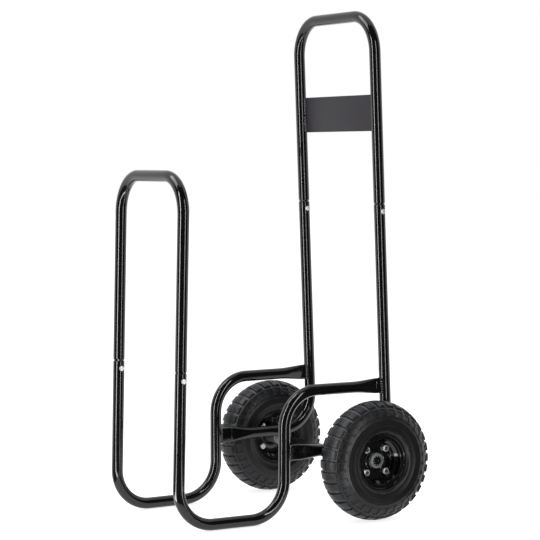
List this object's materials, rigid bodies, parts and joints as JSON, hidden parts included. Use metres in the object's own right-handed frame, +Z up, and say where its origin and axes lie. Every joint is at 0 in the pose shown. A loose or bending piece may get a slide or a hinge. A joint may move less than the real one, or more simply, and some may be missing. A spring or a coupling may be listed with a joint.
{
  "type": "fireside log cart",
  "caption": "Wheeled fireside log cart: bent tube side frames with plug-in front and handle hoops, a back plate, a through axle and air-filled tyres.",
  "frame": {"origin": "on the floor, under the middle of the bounding box", "axes": "+Z up, +Y from the front hoop towards the wheels and handle, +X across to the right side frame"},
  "size_m": [0.524, 0.5827, 1.1087],
  "materials": {
    "frame_black": "gloss black powder coat",
    "plate_satin": "satin dark grey powder coat",
    "weld_black": "gloss black powder coat over weld beads",
    "axle_black": "satin black",
    "bright_zinc": "bright zinc plate",
    "dull_zinc": "dull grey zinc plate",
    "tyre_rubber": "matt black moulded rubber",
    "tube_rubber": "matt butyl rubber",
    "rim_black": "gloss black paint",
    "cage_steel": "dark pressed steel",
    "roller_steel": "ground bearing steel",
    "valve_brass": "satin nickel plate on brass",
    "cap_plastic": "matt black plastic"
  },
  "bodies": {
    "frame": {"front_hoop": "frame_black", "handle_hoop": "frame_black", "back_plate": "plate_satin", "plate_welds": "weld_black", "right_side_tube": "frame_black", "left_side_tube": "frame_black", "right_upright": "frame_black", "left_upright": "frame_black", "right_frame_welds": "weld_black", "left_frame_welds": "weld_black", "axle": "axle_black", "axle_welds": "weld_black", "front_joint_bolts": "bright_zinc", "front_joint_nuts": "bright_zinc", "rear_joint_bolts": "bright_zinc", "rear_joint_nuts": "bright_zinc", "axle_washers": "dull_zinc", "axle_retainers": "dull_zinc"},
    "right_wheel": {"right_tyre": "tyre_rubber", "right_inner_tube": "tube_rubber", "right_outer_rim": "rim_black", "right_inner_rim": "rim_black", "right_hub": "dull_zinc", "right_hub_weld": "rim_black", "right_bearing_cages": "cage_steel", "right_bearing_rollers": "roller_steel", "right_rim_bolts": "bright_zinc", "right_rim_nuts": "bright_zinc", "right_valve_stem": "valve_brass", "right_valve_cap": "cap_plastic"},
    "left_wheel": {"left_tyre": "tyre_rubber", "left_inner_tube": "tube_rubber", "left_outer_rim": "rim_black", "left_inner_rim": "rim_black", "left_hub": "dull_zinc", "left_hub_weld": "rim_black", "left_bearing_cages": "cage_steel", "left_bearing_rollers": "roller_steel", "left_rim_bolts": "bright_zinc", "left_rim_nuts": "bright_zinc", "left_valve_stem": "valve_brass", "left_valve_cap": "cap_plastic"}
  },
  "joints": [
    {"name": "right_wheel_spin", "type": "hinge", "parent": "frame", "child": "right_wheel", "pos_m": [0.221, 0.16137, 0.13], "axis": [1, 0, 0], "continuous": true},
    {"name": "left_wheel_spin", "type": "hinge", "parent": "frame", "child": "left_wheel", "pos_m": [-0.221, 0.16137, 0.13], "axis": [1, 0, 0], "continuous": true}
  ]
}
